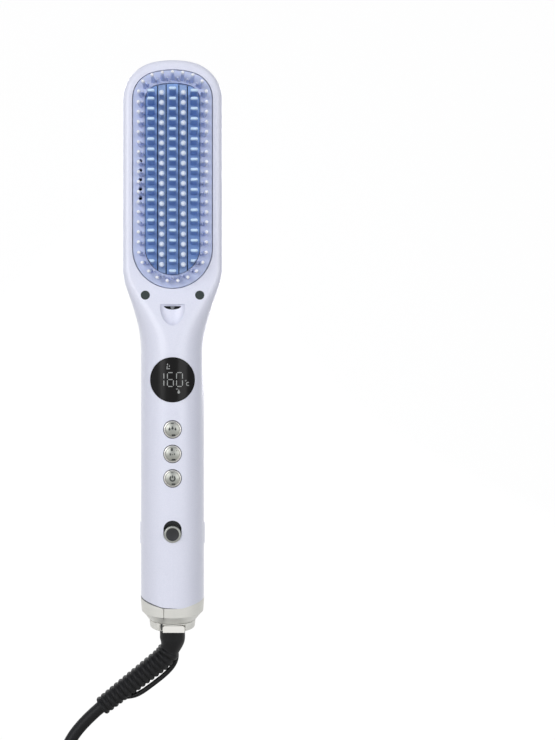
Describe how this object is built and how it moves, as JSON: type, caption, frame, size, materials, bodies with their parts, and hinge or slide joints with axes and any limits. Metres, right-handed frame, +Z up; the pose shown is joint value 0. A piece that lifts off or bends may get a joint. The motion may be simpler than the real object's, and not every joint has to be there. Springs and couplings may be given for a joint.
{
  "type": "steam hair styling brush",
  "caption": "Electric steam styling brush with heated combs, round display, three push buttons, slide switch, removable smoked water tank and swivel cord",
  "frame": {"origin": "on the handle's axis, in the middle of the hand grip", "axes": "+X right in the front view, -Y out of the bristle side, +Z up the handle to the top of the head"},
  "size_m": [0.1125, 0.099, 0.4093],
  "materials": {
    "body_white": "glossy",
    "ring_pale": "satin",
    "comb_blue": "satin",
    "strip_grey_blue": "matte",
    "dark_window": "glossy",
    "silver": "satin",
    "steel": "satin",
    "brass": "satin",
    "black_rubber": "matte",
    "dark_plastic": "matte",
    "smoke_tank": "glossy",
    "port_white": "glossy",
    "board_green": "matte",
    "white_ceramic": "matte",
    "heater_metal": "satin",
    "clear_hose": "satin"
  },
  "bodies": {
    "body": {"board_screws": "steel", "bristle_ring": "ring_pale", "bristle_strip_left": "strip_grey_blue", "bristle_strip_right": "strip_grey_blue", "button_bezels": "silver", "collar_band": "silver", "comb_centre": "comb_blue", "comb_left": "comb_blue", "comb_right": "comb_blue", "contact_holder": "dark_plastic", "contact_springs": "brass", "control_board": "board_green", "delivery_tube": "clear_hose", "display_module": "dark_plastic", "display_window": "dark_window", "front_shell": "body_white", "heater_elements": "white_ceramic", "heater_plate": "heater_metal", "heater_tray": "dark_plastic", "ion_needle": "steel", "ion_outlet": "dark_plastic", "main_board": "board_green", "neck_screws": "steel", "rear_shell": "body_white", "screw_plugs": "dark_plastic", "slide_switch_body": "dark_plastic", "steam_chamber": "heater_metal", "steam_outlet_bar": "dark_plastic", "steam_tube": "clear_hose", "suction_elbow": "clear_hose", "switch_seat": "dark_plastic", "swivel_bush": "dark_plastic", "tact_switches": "dark_plastic", "thermal_fuse": "steel", "thermistor": "white_ceramic", "valve_seal": "black_rubber", "water_pump": "steel"},
    "power_button": {"power_button": "silver"},
    "mode_button": {"mode_button": "silver"},
    "steam_button": {"steam_button": "silver"},
    "slide_knob": {"slide_knob": "silver", "knob_cap": "dark_plastic"},
    "water_tank": {"tank_shell": "smoke_tank", "port_frame": "port_white", "tank_valve": "dark_plastic", "tank_filter": "white_ceramic"},
    "port_stopper": {"port_stopper": "black_rubber"},
    "release_tab_left": {"release_tab_left": "body_white"},
    "release_tab_right": {"release_tab_right": "body_white"},
    "cord_swivel": {"swivel_ring": "silver", "swivel_block": "silver", "retaining_clip": "steel", "slip_disc": "brass", "strain_relief": "black_rubber", "hanging_loop": "black_rubber", "cord": "black_rubber", "cord_coil": "black_rubber", "cord_tie": "black_rubber", "plug_body": "black_rubber", "plug_pins": "brass"}
  },
  "joints": [
    {"name": "power_button_press", "type": "slide", "parent": "body", "child": "power_button", "axis": [0, 1, 0], "range_m": [0, 0.0006], "stiffness_N_per_m": 1500, "springref_m": -0.0004},
    {"name": "mode_button_press", "type": "slide", "parent": "body", "child": "mode_button", "axis": [0, 1, 0], "range_m": [0, 0.0006], "stiffness_N_per_m": 1500, "springref_m": -0.0004},
    {"name": "steam_button_press", "type": "slide", "parent": "body", "child": "steam_button", "axis": [0, 1, 0], "range_m": [0, 0.0006], "stiffness_N_per_m": 1500, "springref_m": -0.0004},
    {"name": "slide_switch", "type": "slide", "parent": "body", "child": "slide_knob", "axis": [0, 0, 1], "range_m": [0, 0.0023]},
    {"name": "tank_removal", "type": "slide", "parent": "body", "child": "water_tank", "axis": [0, 1, 0], "range_m": [0, 0.032]},
    {"name": "stopper_removal", "type": "slide", "parent": "water_tank", "child": "port_stopper", "axis": [0, 1, 0], "range_m": [0, 0.006]},
    {"name": "tab_left_press", "type": "slide", "parent": "body", "child": "release_tab_left", "axis": [1, 0, 0], "range_m": [0, 0.001], "stiffness_N_per_m": 1500, "springref_m": -0.0006},
    {"name": "tab_right_press", "type": "slide", "parent": "body", "child": "release_tab_right", "axis": [-1, 0, 0], "range_m": [0, 0.001], "stiffness_N_per_m": 1500, "springref_m": -0.0006},
    {"name": "cord_turn", "type": "hinge", "parent": "body", "child": "cord_swivel", "pos_m": [0, 0, -0.0732], "axis": [0, 0, 1], "continuous": true}
  ]
}
